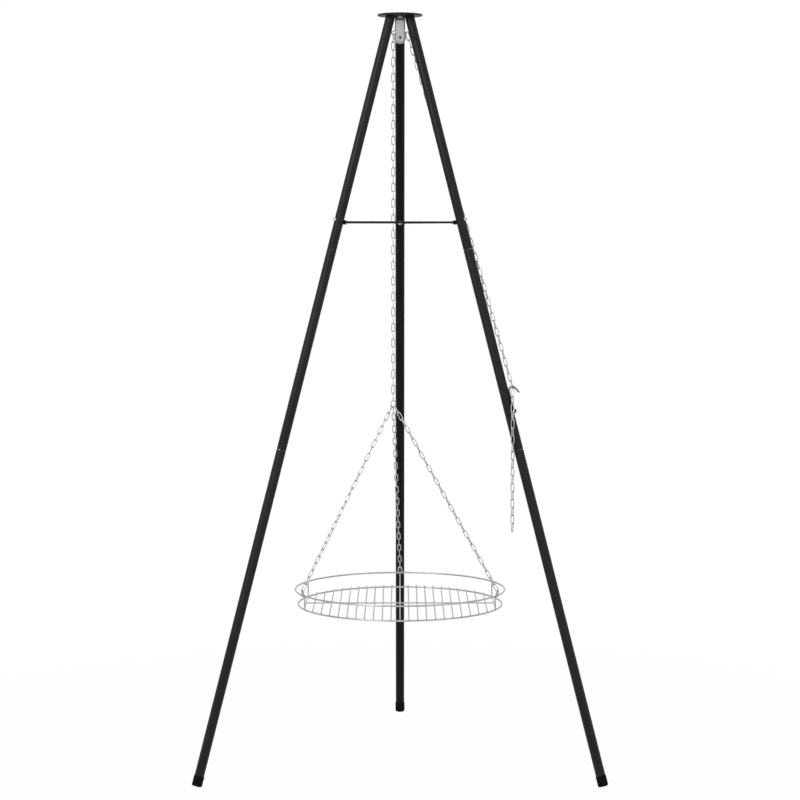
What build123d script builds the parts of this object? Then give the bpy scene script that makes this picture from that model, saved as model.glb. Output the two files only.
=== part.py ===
"""Campfire tripod with a round grate hanging from a chain and pulley.

Frame: +Z up, floor at Z = 0, origin at the middle of the box around the feet.
One leg points to +Y (rear), the other two point to the front left and front right.
"""
import os
from math import acos, asin, atan2, ceil, cos, degrees, radians, sin, sqrt, tan

from build123d import *

os.makedirs("parts", exist_ok=True)

# ---------------------------------------------------------------- driving sizes (mm, degrees)
LEG_ANGLES = {"rear": 90, "left": 210, "right": 330}   # azimuth of each leg

foot_radius = 533.0          # leg axis at the floor, from the tripod axis
plate_top_height = 1760.0    # top of the head plate
apex_rise = 82.0             # from the plate up to where the three leg axes would meet
head_stub_drop = 63.0        # from the plate down to the stubs' joints, on the leg axis
upper_joint_height = 1214.7  # the other leg joints, on the leg axis
lower_joint_height = 757.5

tube_diameter = 22.0
tube_wall = 1.2
spigot_length = 45.0
spigot_play = 0.1            # radial, spigot in the tube below it
rim_chamfer = 0.5            # bare rim at the top of each lower tube
shoulder_chamfer = 0.8       # foot of each upper tube, above its spigot

cap_wall = 1.0               # rubber foot caps
cap_length = 24.0
cap_base = 4.0
cap_edge_radius = 3.0
cap_flat_depth = 0.8         # worn flat under each cap

plate_diameter = 105.0
plate_thickness = 4.0
plate_edge_chamfer = 0.5
head_bolt_diameter = 6.0
head_bolt_head_diameter = 12.0
head_bolt_head_height = 3.5
head_bolt_dome_radius = 2.8
hex_nut_width = 10.0         # across flats, on the head bolt
hex_nut_height = 5.0
lock_nut_height = 3.2        # thin nut inside the yoke
hole_play = 0.15             # radial, any screw in its hole

yoke_width = 24.0
yoke_sheet = 2.0
yoke_inner_gap = 14.0        # between the two cheeks
yoke_flange_gap = 11.0       # between the tips of the rolled edges
yoke_flange_radius = 3.5
yoke_seat_gap = 2.0          # yoke crown below the hex nut
axle_drop = 54.0             # from the plate down to the axle
axle_diameter = 5.0
axle_head_diameter = 7.0
axle_head_height = 1.2
strand_offset = 15.9         # hanging chain, from the middle of the wheel
wheel_turn_radius = 19.2     # where the links turn on each other, from the axle
wheel_width = 9.0
wheel_slot = 3.4
wheel_bore_play = 0.05
chain_seat_gap = 0.35        # flat links above the wheel rim
slot_seat_gap = 1.6          # upright links above the slot floor
axle_washer_diameter = 12.0
axle_washer_gap = 0.2        # each side of a washer

link_wire = 2.3
link_pitch = 18.3
link_inner_width = 5.0
link_gap = 0.3               # air between two linked wires
leg_chain_gap = 0.3          # air between a chain and a leg tube

ring_wire = 4.0
rod_wire = 3.0
upper_ring_radius = 248.0
upper_ring_height = 411.1
lower_ring_radius = 241.2
lower_ring_drop = 34.9       # lower ring below the upper one
rod_pitch = 20.2
rod_overhang = 3.0
post_bend_radius = 4.5
post_rise = 2.0              # post ends above the upper ring's centreline
eye_inner_width = 4.7
eye_rise = 13.5              # middle of the eye's wire above the upper ring's middle
eye_foot_drop = 2.0          # eye feet below the upper ring's middle
EYE_ANGLES = {"rear": 90, "left": 206, "right": 334}   # azimuth of each hanger eye

joining_top_height = 857.6   # where the main chain holds the joining link
joining_wire = 2.5
joining_inner_width = 8.0
joining_inner_length = 15.0
JOINING_SEAT_ANGLES = {"rear": 270, "left": 197, "right": 343}   # chains round its lower bend

spreader_height = 1281.0     # spreader screws, on the leg axis
spreader_bar_diameter = 5.0
spreader_tab_width = 10.0
spreader_tab_thickness = 2.0
spreader_tab_length = 11.0   # screw to the end of the flat, towards the bar
spreader_round_start = 7.0   # screw to where the bar is round again
spreader_bend_radius = 6.0
screw_diameter = 5.0
screw_head_diameter = 9.5
screw_head_height = 3.2
screw_dome_radius = 1.92
washer_diameter = 10.0
washer_thickness = 1.0
nut_width = 8.0
nut_height = 4.0
screw_tip = 1.5              # screw end past its nut

HOOK_LEG_ANGLE = LEG_ANGLES["right"]      # the leg that carries the hook
hook_screw_height = 843.0
hook_screw_length = 12.0
hook_wire = 3.5
hook_eye_wire = 3.6          # the eye is a little thicker than the shank that ends in it
hook_arch_radius = 9.5
hook_shank_length = 45.5     # hook screw to the start of the arch
hook_tip_angle = 45.0
hook_tip_length = 14.0
hook_chain_gap = 0.4         # spare chain below the arch
wrap_top_height = 1359.0     # the back chain lies round the hook's leg from here
wrap_foot_height = 1111.0    # down to here
wrap_start_angle = 105.7     # round the leg axis, from outwards
wrap_end_angle = 43.1
wrap_steps = 4
spare_links = 18
spare_lean_length = 69.0     # spare chain from the hook to where it clears the leg
spare_outset = 8.7           # its hanging stretch, outwards from the hook

# ---------------------------------------------------------------- worked out from them
lower_ring_height = upper_ring_height - lower_ring_drop
apex_height = plate_top_height + apex_rise
stub_joint_height = plate_top_height - head_stub_drop
axle_height = plate_top_height - axle_drop
lean = degrees(atan2(foot_radius, apex_height))
lean_sin, lean_cos, lean_tan = sin(radians(lean)), cos(radians(lean)), tan(radians(lean))

tube_radius = tube_diameter / 2
tube_bore = tube_radius - tube_wall
spigot_radius = tube_bore - spigot_play
cap_radius = tube_radius + cap_wall
plate_under = plate_top_height - plate_thickness

cap_lever = cap_radius - cap_edge_radius
cap_bottom_height = cap_lever * lean_sin - cap_edge_radius * lean_cos + cap_edge_radius - cap_flat_depth
cap_bottom_radius = foot_radius - cap_bottom_height * lean_tan
edge_axis_radius = cap_bottom_radius - cap_edge_radius * lean_sin
reach_back = edge_axis_radius + cap_lever * lean_cos + cap_edge_radius
reach_front = edge_axis_radius / 2 + cap_lever * sqrt(lean_cos**2 / 4 + 0.75) + cap_edge_radius
axis_y = (reach_front - reach_back) / 2          # tripod axis in the part's frame
axis_point = Vector(0, axis_y, 0)

link_bend = (link_inner_width + link_wire) / 2   # centreline radius of a link's end
link_straight = link_pitch + link_wire + link_gap - 2 * link_bend
link_half_width = link_bend + link_wire / 2
link_seat = (link_wire + link_gap) / 2           # a link's end wire past the chain joint

link_reach = link_bend - link_seat               # chain joint to the middle of a link's bend
upright_run = link_pitch - 2 * link_reach        # an upright link, between its two bends
flat_run = link_pitch + 2 * link_reach           # a flat link, between its neighbours' bends
upright_turn = 2 * degrees(asin(upright_run / 2 / wheel_turn_radius))
flat_turn = 2 * degrees(asin(flat_run / 2 / wheel_turn_radius))
flat_seat_radius = wheel_turn_radius * cos(radians(flat_turn / 2))
upright_seat_radius = wheel_turn_radius * cos(radians(upright_turn / 2))
wheel_radius = flat_seat_radius - link_wire / 2 - chain_seat_gap
wheel_slot_radius = upright_seat_radius - link_half_width - slot_seat_gap


def along_leg(height):
    """Distance from the apex, down the leg axis, to a height on that axis."""
    return (apex_height - height) / lean_cos


def leg_directions(azimuth):
    """Unit vectors of a leg: outwards (level), sideways (level), down the leg, out of the leg."""
    turn = radians(azimuth)
    outward = Vector(cos(turn), sin(turn), 0)
    sideways = Vector(-sin(turn), cos(turn), 0)
    down = outward * lean_sin - Vector(0, 0, lean_cos)
    normal = outward * lean_cos + Vector(0, 0, lean_sin)
    return outward, sideways, down, normal


def leg_point(azimuth, height, out=0.0, side=0.0):
    """A point beside the leg axis: out and side are level offsets at that height."""
    outward, sideways, _, _ = leg_directions(azimuth)
    radius = (apex_height - height) * lean_tan
    return axis_point + outward * (radius + out) + sideways * side + Vector(0, 0, height)


apex = axis_point + Vector(0, 0, apex_height)
cap_end = along_leg(cap_bottom_height)
tube_end = cap_end - cap_base


def save(part, name):
    part.label = name
    export_step(part, f"parts/{name}.step")


def leg_revolve(azimuth, outline):
    """A round piece on the leg axis from (radius, distance from the apex) points."""
    _, sideways, down, _ = leg_directions(azimuth)
    with BuildPart() as piece:
        with BuildSketch(Plane(apex, x_dir=sideways, z_dir=sideways.cross(down))):
            with BuildLine():
                Polyline(*outline, close=True)
            make_face()
        revolve(axis=Axis(apex, down))
    return piece.part


def tube_outline(start, end, with_spigot=True):
    """Half section of a leg tube: bevelled rim on top, reduced spigot below."""
    outline = [
        (tube_bore, start),
        (tube_radius - rim_chamfer, start),
        (tube_radius, start + rim_chamfer),
        (tube_radius, end - shoulder_chamfer),
        (tube_radius - shoulder_chamfer, end),
    ]
    if with_spigot:
        spigot_bore = spigot_radius - tube_wall
        return outline + [
            (spigot_radius, end),
            (spigot_radius, end + spigot_length),
            (spigot_bore, end + spigot_length),
            (spigot_bore, end - tube_wall),
            (tube_bore, end - tube_wall),
        ]
    return outline + [(tube_bore, end)]


# ---------------------------------------------------------------- legs
screw_hole_radius = screw_diameter / 2 + hole_play

for leg_name, leg_azimuth in LEG_ANGLES.items():
    _, leg_side, leg_down, leg_normal = leg_directions(leg_azimuth)

    with BuildPart() as head_stub:
        add(leg_revolve(leg_azimuth, tube_outline(along_leg(plate_top_height),
                                                  along_leg(stub_joint_height))))
        split(bisect_by=Plane.XY.offset(plate_under), keep=Keep.BOTTOM)
    save(head_stub.part, f"head_stub_{leg_name}")

    spreader_axis = leg_point(leg_azimuth, spreader_height)
    with BuildPart() as leg_upper:
        add(leg_revolve(leg_azimuth, tube_outline(along_leg(stub_joint_height),
                                                  along_leg(upper_joint_height))))
        with BuildSketch(Plane(spreader_axis, x_dir=leg_side, z_dir=leg_normal)):
            Circle(screw_hole_radius)
        extrude(amount=tube_diameter, both=True, mode=Mode.SUBTRACT)
    save(leg_upper.part, f"leg_upper_{leg_name}")

    with BuildPart() as leg_middle:
        add(leg_revolve(leg_azimuth, tube_outline(along_leg(upper_joint_height),
                                                  along_leg(lower_joint_height))))
        if leg_azimuth == HOOK_LEG_ANGLE:
            hook_hole = leg_point(leg_azimuth, hook_screw_height)
            with BuildSketch(Plane(hook_hole, x_dir=leg_side, z_dir=leg_normal)):
                Circle(screw_hole_radius)
            extrude(amount=tube_diameter, mode=Mode.SUBTRACT)
    save(leg_middle.part, f"leg_middle_{leg_name}")

    save(leg_revolve(leg_azimuth, tube_outline(along_leg(lower_joint_height), tube_end, False)),
         f"leg_lower_{leg_name}")

    with BuildPart() as foot_cap:
        add(leg_revolve(leg_azimuth, [
            (0, tube_end), (tube_radius, tube_end), (tube_radius, cap_end - cap_length),
            (cap_radius, cap_end - cap_length), (cap_radius, cap_end), (0, cap_end),
        ]))
        fillet(foot_cap.edges().filter_by(GeomType.CIRCLE).sort_by(Axis(apex, leg_down))[-1],
               radius=cap_edge_radius)
        split(bisect_by=Plane.XY, keep=Keep.TOP)
    save(foot_cap.part, f"foot_cap_{leg_name}")

# ---------------------------------------------------------------- head plate, bolt and nuts
head_hole_radius = head_bolt_diameter / 2 + hole_play
nut_under = plate_under - hex_nut_height
yoke_top = nut_under - yoke_seat_gap
yoke_crown_under = yoke_top - yoke_sheet
lock_nut_under = yoke_crown_under - lock_nut_height

with BuildPart() as head_plate:
    with BuildSketch(Plane(axis_point + Vector(0, 0, plate_under))):
        Circle(plate_diameter / 2)
        Circle(head_hole_radius, mode=Mode.SUBTRACT)
    extrude(amount=plate_thickness)
    chamfer(head_plate.edges().filter_by(GeomType.CIRCLE).group_by(SortBy.RADIUS)[-1],
            length=plate_edge_chamfer)
save(head_plate.part, "head_plate")

with BuildPart() as head_bolt:
    with BuildSketch(Plane(axis_point + Vector(0, 0, lock_nut_under - screw_tip))):
        Circle(head_bolt_diameter / 2)
    extrude(amount=plate_top_height - lock_nut_under + screw_tip)
    with BuildSketch(Plane(axis_point + Vector(0, 0, plate_top_height))):
        Circle(head_bolt_head_diameter / 2)
    extrude(amount=head_bolt_head_height)
    fillet(head_bolt.edges().group_by(Axis.Z)[-1], radius=head_bolt_dome_radius)
save(head_bolt.part, "head_bolt")


def hex_nut(plane, width, height, bore_radius):
    with BuildPart() as nut:
        with BuildSketch(plane):
            RegularPolygon(width / 2, 6, major_radius=False)
            Circle(bore_radius, mode=Mode.SUBTRACT)
        extrude(amount=height)
    return nut.part


save(hex_nut(Plane(axis_point + Vector(0, 0, nut_under)), hex_nut_width, hex_nut_height,
             head_bolt_diameter / 2), "head_nut")
save(hex_nut(Plane(axis_point + Vector(0, 0, lock_nut_under)), hex_nut_width, lock_nut_height,
             head_bolt_diameter / 2), "yoke_nut")

# ---------------------------------------------------------------- pulley yoke, wheel and axle
axle_point = axis_point + Vector(0, 0, axle_height)
axle_plane = Plane(axle_point, x_dir=(1, 0, 0), z_dir=(0, -1, 0))
cheek_inner = yoke_inner_gap / 2
cheek_outer = cheek_inner + yoke_sheet
yoke_rise = yoke_top - axle_height
yoke_half = yoke_width / 2
inner_half = yoke_half - yoke_sheet
inner_rise = yoke_crown_under - axle_height

with BuildPart() as pulley_yoke:
    with BuildSketch(axle_plane):
        with BuildLine():
            Polyline((-yoke_half, 0), (-yoke_half, yoke_rise), (yoke_half, yoke_rise), (yoke_half, 0))
            CenterArc((0, 0), yoke_half, 180, 180)
        make_face()
    extrude(amount=cheek_outer, both=True)
    cheek_faces = pulley_yoke.faces().filter_by(Axis.Y)
    fillet(cheek_faces.edges(), radius=yoke_flange_radius)
    with BuildSketch(axle_plane):
        with BuildLine():
            Polyline((-inner_half, 0), (-inner_half, inner_rise), (inner_half, inner_rise),
                     (inner_half, 0))
            CenterArc((0, 0), inner_half, 180, 180)
        make_face()
    extrude(amount=cheek_inner, both=True, mode=Mode.SUBTRACT)
    with BuildSketch(axle_plane):
        Rectangle(2 * yoke_width, 4 * yoke_rise)   # wider and longer than the yoke
    extrude(amount=yoke_flange_gap / 2, both=True, mode=Mode.SUBTRACT)
    with BuildSketch(axle_plane):
        with Locations((0, inner_rise + yoke_sheet / 2)):
            Rectangle(yoke_width, yoke_sheet)
    extrude(amount=cheek_inner, both=True)
    with BuildSketch(axle_plane):
        Circle(axle_diameter / 2)
    extrude(amount=2 * cheek_outer, both=True, mode=Mode.SUBTRACT)
    with BuildSketch(Plane(axis_point + Vector(0, 0, yoke_crown_under))):
        Circle(head_hole_radius)
    extrude(amount=3 * yoke_sheet, mode=Mode.SUBTRACT)
save(pulley_yoke.part, "pulley_yoke")

with BuildPart() as pulley_wheel:
    with BuildSketch(Plane(axle_point, x_dir=(1, 0, 0), z_dir=(0, 0, 1))):
        with BuildLine():
            bore = axle_diameter / 2 + wheel_bore_play
            Polyline(
                (bore, -wheel_width / 2), (wheel_radius, -wheel_width / 2),
                (wheel_radius, -wheel_slot / 2), (wheel_slot_radius, -wheel_slot / 2),
                (wheel_slot_radius, wheel_slot / 2), (wheel_radius, wheel_slot / 2),
                (wheel_radius, wheel_width / 2), (bore, wheel_width / 2), close=True)
        make_face()
    revolve(axis=Axis(axle_point, (0, 1, 0)))
save(pulley_wheel.part, "pulley_wheel")

with BuildPart() as pulley_axle:
    with BuildSketch(axle_plane):
        Circle(axle_diameter / 2)
    extrude(amount=cheek_outer, both=True)
    for head_side in (-1, 1):
        with BuildSketch(axle_plane.offset(head_side * cheek_outer)):
            Circle(axle_head_diameter / 2)
        extrude(amount=head_side * axle_head_height)
save(pulley_axle.part, "pulley_axle")

with BuildPart() as axle_washers:
    for washer_side in (-1, 1):
        with BuildSketch(axle_plane.offset(washer_side * (wheel_width / 2 + axle_washer_gap))):
            Circle(axle_washer_diameter / 2)
            Circle(axle_diameter / 2, mode=Mode.SUBTRACT)
        extrude(amount=washer_side * (cheek_inner - wheel_width / 2 - 2 * axle_washer_gap))
save(axle_washers.part, "axle_washers")


# ---------------------------------------------------------------- chains
def wire_loop(straight, bend, wire):
    """A closed oval of round wire, long side on Z and wide side on X."""
    with BuildPart() as loop:
        with BuildLine(Plane.XZ):
            Line((-bend, -straight / 2), (-bend, straight / 2))
            CenterArc((0, straight / 2), bend, 0, 180)
            Line((bend, straight / 2), (bend, -straight / 2))
            CenterArc((0, -straight / 2), bend, 180, 180)
        with BuildSketch(Plane((-bend, 0, 0))):
            Circle(wire / 2)
        sweep()
    return loop.part


def link_places(joints, wide, twist=0.0):
    """One place for each link between two chain joints, every link a quarter turn on.

    wide is the first link's wide direction and twist the turn of the whole chain.
    """
    places = []
    count = len(joints) - 1
    for index in range(count):
        start, end = joints[index], joints[index + 1]
        along = (start - end).normalized()
        across = (wide - along * wide.dot(along)).normalized()
        turn = 90.0 * index + twist * index / max(count - 1, 1)
        across = across.rotate(Axis((0, 0, 0), along), turn)
        places.append(Plane((start + end) / 2, x_dir=across, z_dir=along).location)
    return places


def chain(places):
    with BuildPart() as strand:
        with Locations(*places):
            add(link_loop)
    return strand.part


def straight_joints(start, end):
    """Evenly spaced chain joints, no further apart than a taut link allows."""
    count = ceil((end - start).length / link_pitch - 1e-6)
    return [start + (end - start) * (index / count) for index in range(count + 1)]


def hung_joints(first_wire, last_wire):
    """Chain joints between the middles of the two end wires of a taut, straight chain."""
    run = (last_wire - first_wire).normalized()
    spread = (last_wire - first_wire).length - link_pitch - 2 * link_seat
    more_links = ceil(spread / link_pitch)
    spacing = spread / more_links
    first_joint = first_wire + run * ((link_pitch - spacing) / 2 + link_seat)
    return [first_joint + run * (spacing * index) for index in range(more_links + 2)]


link_loop = wire_loop(link_straight, link_bend, link_wire)

first_turn = 180 - degrees(acos(strand_offset / wheel_turn_radius))
wheel_spots = [axle_point + Vector(cos(radians(turn)), 0, sin(radians(turn))) * wheel_turn_radius
               for turn in (first_turn, first_turn - upright_turn,
                            first_turn - upright_turn - flat_turn)]
wheel_spots.insert(0, wheel_spots[0] - Vector(0, 0, flat_run))
strand_head = wheel_spots[0] + Vector(0, 0, link_reach)
save(chain(link_places(wheel_spots, Vector(0, 1, 0))), "pulley_chain")

strand_foot = Vector(-strand_offset, axis_y, joining_top_height)
drop_joints = straight_joints(strand_head, strand_foot)
drop_twist = 90 * ((len(drop_joints) - 1) % 2)     # the last link always crosses the joining link
drop_places = link_places(drop_joints, Vector(1, 0, 0), drop_twist)
save(chain(drop_places[:1]), "chain_top_link")
save(chain(drop_places[1:-1]), "main_chain")
save(chain(drop_places[-1:]), "chain_end_link")

# back chain: from the wheel, round the back of the right leg, to the hook
hook_out, hook_side, _, hook_normal = leg_directions(HOOK_LEG_ANGLE)
hook_up = Vector(0, 0, 1) * lean_cos - hook_out * lean_sin      # up the leg
hook_foot = leg_point(HOOK_LEG_ANGLE, hook_screw_height)
shank_offset = tube_radius + hook_eye_wire / 2
arch_foot = hook_foot + hook_normal * shank_offset + hook_up * hook_shank_length
arch_middle = arch_foot + hook_normal * hook_arch_radius
hook_joint_drop = link_seat + link_wire / 2 + hook_chain_gap + hook_wire / 2
hook_joint = arch_middle + Vector(0, 0, hook_arch_radius - hook_joint_drop)

wrap_radius = tube_radius + leg_chain_gap + link_half_width


def wrap_point(share):
    """A point of the chain where it lies round the back of the leg."""
    turn = radians(wrap_start_angle + share * (wrap_end_angle - wrap_start_angle))
    height = wrap_top_height + share * (wrap_foot_height - wrap_top_height)
    return leg_point(HOOK_LEG_ANGLE, height, wrap_radius * cos(turn) / lean_cos, wrap_radius * sin(turn))


exit_run = Vector(lean_sin, 0, -lean_cos)
wheel_exit = wheel_spots[-1] - exit_run * link_reach
with BuildLine() as back_route:
    Polyline(wheel_exit, wheel_exit + exit_run * link_pitch,
             *[wrap_point(step / wrap_steps) for step in range(wrap_steps + 1)], hook_joint)
back_wire = back_route.wire()
back_count = ceil(back_wire.length / link_pitch)
back_joints = [back_wire @ (index / back_count) for index in range(back_count + 1)]

# the first link lies in the wheel's slot, and the last one is square to the hook's arch
back_twist = (HOOK_LEG_ANGLE + 90 - 90 * (back_count - 1) + 90) % 180 - 90
save(chain(link_places(back_joints, Vector(1, 0, 0), back_twist)), "back_chain")

# spare end of the chain: over the side of the leg, then hanging
clear_point = (hook_joint + hook_out * spare_outset - hook_side * wrap_radius
               - Vector(0, 0, sqrt(spare_lean_length**2 - spare_outset**2 - wrap_radius**2)))
spare_foot = clear_point - Vector(0, 0, spare_links * link_pitch - spare_lean_length)
with BuildLine() as spare_route:
    Polyline(hook_joint, clear_point, spare_foot)
spare_wire = spare_route.wire()
spare_joints = [spare_wire @ (index / spare_links) for index in range(spare_links + 1)]
save(chain(link_places(spare_joints, hook_out)), "spare_chain")

# ---------------------------------------------------------------- hook and its screw
hook_plane = Plane(arch_middle, x_dir=hook_out, z_dir=-hook_side)
tip_turn = radians(hook_tip_angle)
tip_start = (hook_arch_radius * cos(tip_turn), hook_arch_radius * sin(tip_turn))
tip_end = (tip_start[0] + hook_tip_length * sin(tip_turn), tip_start[1] - hook_tip_length * cos(tip_turn))
eye_radius = screw_diameter / 2 + hole_play + hook_eye_wire / 2
shank_run = hook_shank_length - eye_radius
shank_top = (-lean_cos * hook_arch_radius, -lean_sin * hook_arch_radius)
shank_foot = (shank_top[0] + lean_sin * shank_run, shank_top[1] - lean_cos * shank_run)

with BuildPart() as chain_hook:
    with BuildLine(hook_plane) as hook_line:
        Line(tip_end, tip_start)
        CenterArc((0, 0), hook_arch_radius, hook_tip_angle, 180 + lean - hook_tip_angle)
        Line(shank_top, shank_foot)
    with BuildSketch(Plane(hook_line.wire() @ 0, z_dir=hook_line.wire() % 0)):
        Circle(hook_wire / 2)
    sweep(path=hook_line.wire())
    with BuildSketch(Plane(hook_foot + hook_normal * shank_offset, x_dir=hook_side, z_dir=-hook_up)):
        with Locations((eye_radius, 0)):
            Circle(hook_eye_wire / 2)
    revolve(axis=Axis(hook_foot, hook_normal))
save(chain_hook.part, "chain_hook")


def pan_head_screw(plane, length):
    """A screw whose head sits on the plane and whose shank runs against the plane's direction."""
    with BuildPart() as screw:
        with BuildSketch(plane):
            Circle(screw_head_diameter / 2)
        extrude(amount=screw_head_height)
        fillet(screw.faces().sort_by(Axis(plane.origin, plane.z_dir))[-1].edges(),
               radius=screw_dome_radius)
        with BuildSketch(plane):
            Circle(screw_diameter / 2)
        extrude(amount=-length)
    return screw.part


hook_screw_seat = Plane(hook_foot + hook_normal * (tube_radius + hook_eye_wire), x_dir=hook_side,
                        z_dir=hook_normal)
save(pan_head_screw(hook_screw_seat, hook_screw_length), "hook_screw")

# ---------------------------------------------------------------- spreader
tab_stack = 2 * spreader_tab_thickness
screw_reach = tube_diameter + tab_stack + washer_thickness + nut_height + screw_tip
bolted = {"spreader_screws": [], "spreader_washers": [], "spreader_nuts": []}
for leg_azimuth in LEG_ANGLES.values():
    _, leg_side, _, leg_normal = leg_directions(leg_azimuth)
    axis_spot = leg_point(leg_azimuth, spreader_height)
    head_seat = Plane(axis_spot + leg_normal * tube_radius, x_dir=leg_side, z_dir=leg_normal)
    washer_seat = Plane(axis_spot - leg_normal * (tube_radius + tab_stack), x_dir=leg_side,
                        z_dir=-leg_normal)
    bolted["spreader_screws"].append(pan_head_screw(head_seat, screw_reach))
    with BuildPart() as washer:
        with BuildSketch(washer_seat):
            Circle(washer_diameter / 2)
            Circle(screw_diameter / 2, mode=Mode.SUBTRACT)
        extrude(amount=washer_thickness)
    bolted["spreader_washers"].append(washer.part)
    bolted["spreader_nuts"].append(hex_nut(washer_seat.offset(washer_thickness), nut_width, nut_height,
                                           screw_diameter / 2))

for group_name, pieces in bolted.items():
    with BuildPart() as group:
        add(pieces)
    save(group.part, group_name)


def tab_frame(azimuth, layer, towards):
    """Middle plane of a flat tab on a leg: X along the tab to its bar, Z out of the leg."""
    _, side, _, normal = leg_directions(azimuth)
    depth = tube_radius + (layer + 0.5) * spreader_tab_thickness
    return Plane(leg_point(azimuth, spreader_height) - normal * depth, x_dir=side * towards,
                 z_dir=normal)


def spreader_bar(first_azimuth, second_azimuth):
    """A round bar flattened at both ends, first tab on the tube, second tab on top of a first."""
    frames = (tab_frame(first_azimuth, 0, 1), tab_frame(second_azimuth, 1, -1))
    round_ends = [frame.origin + frame.x_dir * spreader_round_start for frame in frames]
    corners = [frame.origin + frame.x_dir * spreader_tab_length for frame in frames]
    with BuildPart() as bar:
        with BuildLine():
            FilletPolyline(round_ends[0], corners[0], corners[1], round_ends[1],
                           radius=spreader_bend_radius)
        with BuildSketch(Plane(round_ends[0], z_dir=frames[0].x_dir)):
            Circle(spreader_bar_diameter / 2)
        sweep()
        for frame in frames:
            with BuildSketch(frame.offset(-spreader_tab_thickness / 2)):
                with Locations((spreader_tab_length / 2, 0)):
                    Rectangle(spreader_tab_length, spreader_tab_width)
                Circle(spreader_tab_width / 2)
                Circle(screw_hole_radius, mode=Mode.SUBTRACT)
            extrude(amount=spreader_tab_thickness)
    return bar.part


save(spreader_bar(LEG_ANGLES["rear"], LEG_ANGLES["left"]), "spreader_bar_rear_left")
save(spreader_bar(LEG_ANGLES["left"], LEG_ANGLES["right"]), "spreader_bar_front")
save(spreader_bar(LEG_ANGLES["right"], LEG_ANGLES["rear"]), "spreader_bar_rear_right")

# ---------------------------------------------------------------- joining link
joining_bend = (joining_inner_width + joining_wire) / 2
joining_straight = joining_inner_length - joining_inner_width
joining_seat = (joining_wire + link_wire) / 2 + link_gap - link_seat
joining_top = strand_foot + Vector(0, 0, joining_seat)
joining_middle = joining_top - Vector(0, 0, joining_bend + joining_straight / 2)
with BuildPart() as joining_link:
    with Locations(joining_middle):
        add(wire_loop(joining_straight, joining_bend, joining_wire))
save(joining_link.part, "joining_link")

# ---------------------------------------------------------------- grate
ring_top = lower_ring_height + ring_wire / 2
rod_height = ring_top + rod_wire / 2
post_radius = upper_ring_radius - ring_wire / 2 - rod_wire / 2
side_rods = int(lower_ring_radius // rod_pitch)


def ring(radius, height):
    with BuildPart() as hoop:
        with BuildSketch(Plane(axis_point, x_dir=(1, 0, 0), z_dir=(0, -1, 0))):
            with Locations((radius, height)):
                Circle(ring_wire / 2)
        revolve(axis=Axis(axis_point, (0, 0, 1)))
    return hoop.part


save(ring(upper_ring_radius, upper_ring_height), "upper_ring")
save(ring(lower_ring_radius, lower_ring_height), "lower_ring")

with BuildPart() as grate_rods:
    for rod_index in range(1 - side_rods, side_rods):
        if rod_index != 0:
            rod_x = rod_index * rod_pitch
            half_length = sqrt(lower_ring_radius**2 - rod_x**2) + rod_overhang
            with BuildSketch(Plane((rod_x, axis_y, rod_height), z_dir=(0, 1, 0))):
                Circle(rod_wire / 2)
            extrude(amount=half_length, both=True)
save(grate_rods.part, "grate_rods")

for rod_name, rod_index in (("left", -side_rods), ("centre", 0), ("right", side_rods)):
    rod_x = rod_index * rod_pitch
    post_y = sqrt(post_radius**2 - rod_x**2)
    post_top = upper_ring_height + post_rise
    with BuildPart() as support_rod:
        with BuildLine():
            FilletPolyline(
                (rod_x, axis_y - post_y, post_top), (rod_x, axis_y - post_y, rod_height),
                (rod_x, axis_y + post_y, rod_height), (rod_x, axis_y + post_y, post_top),
                radius=post_bend_radius)
        with BuildSketch(Plane((rod_x, axis_y - post_y, post_top), z_dir=(0, 0, -1))):
            Circle(rod_wire / 2)
        sweep()
    save(support_rod.part, f"support_rod_{rod_name}")

with BuildPart() as cross_bar:
    with BuildSketch(Plane((0, axis_y, rod_height - rod_wire), z_dir=(1, 0, 0))):
        Circle(rod_wire / 2)
    extrude(amount=side_rods * rod_pitch + rod_wire / 2, both=True)
save(cross_bar.part, "cross_bar")

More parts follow.
